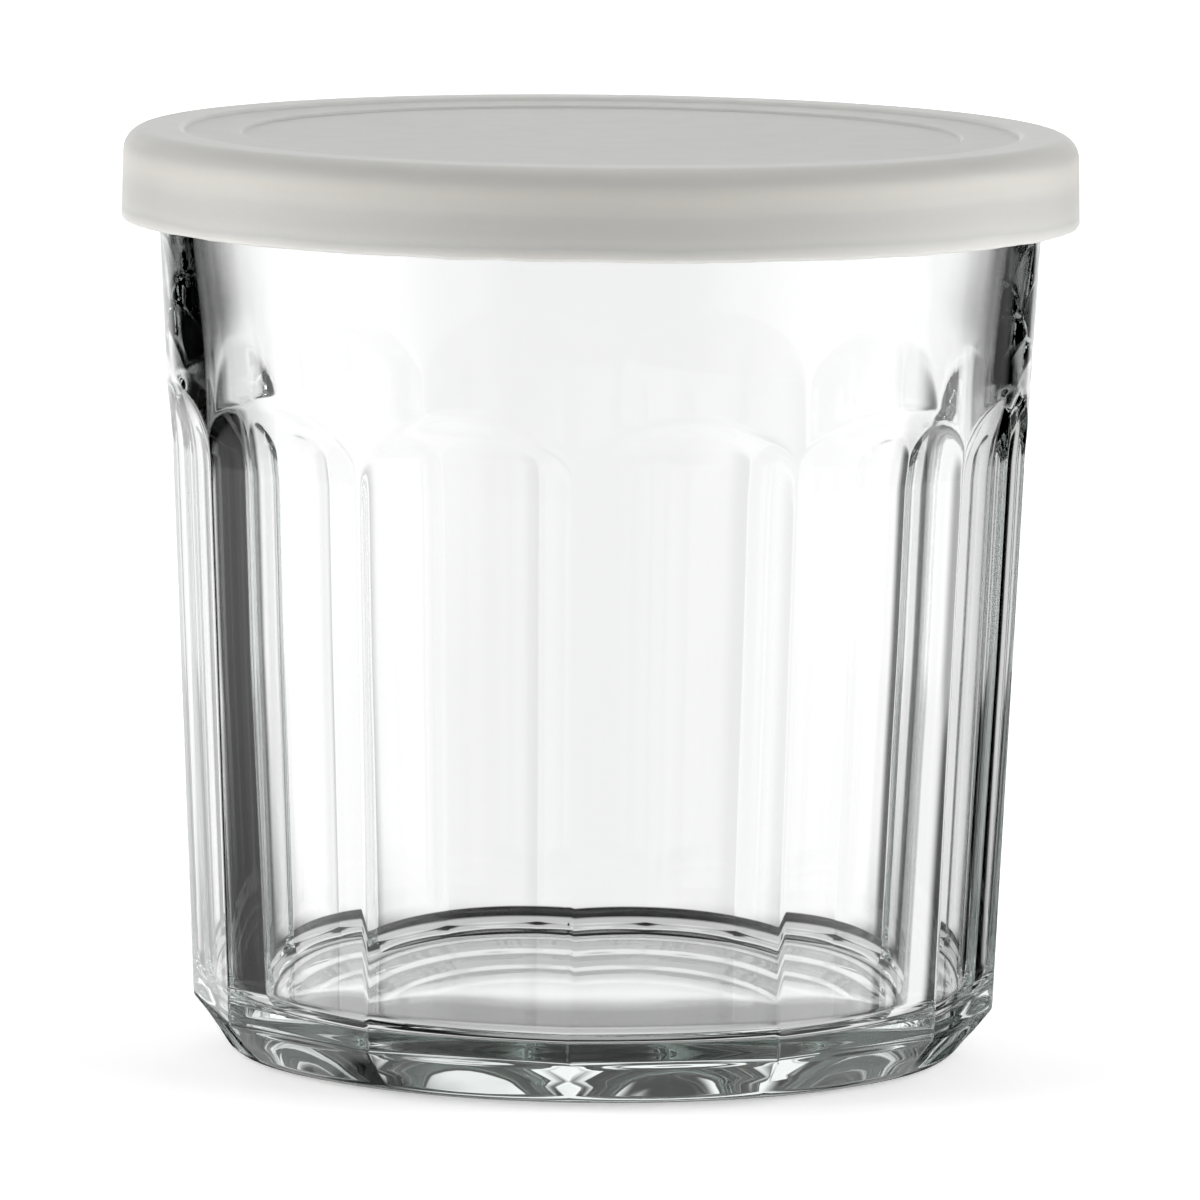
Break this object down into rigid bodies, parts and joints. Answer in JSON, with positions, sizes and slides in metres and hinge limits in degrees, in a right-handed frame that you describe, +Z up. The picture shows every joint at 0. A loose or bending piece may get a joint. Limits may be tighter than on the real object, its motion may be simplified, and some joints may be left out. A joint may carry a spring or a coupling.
{
  "type": "glass storage jar",
  "caption": "Clear faceted glass jar with arched facet tops, a round band under the mouth, a thick bevelled base and a translucent press-fit lid.",
  "frame": {"origin": "centre of the foot ring, on the surface that the jar stands on", "axes": "+Z up along the jar's axis; a ridge between two facets lies on -Y, towards the viewer"},
  "size_m": [0.095, 0.095, 0.0918],
  "materials": {
    "glass": "clear, fire-polished, faint green tint in the thick base",
    "lid_plastic": "milky translucent, fine satin grain"
  },
  "bodies": {
    "root": {"glass_jar": "glass", "lid": "lid_plastic"}
  },
  "joints": []
}
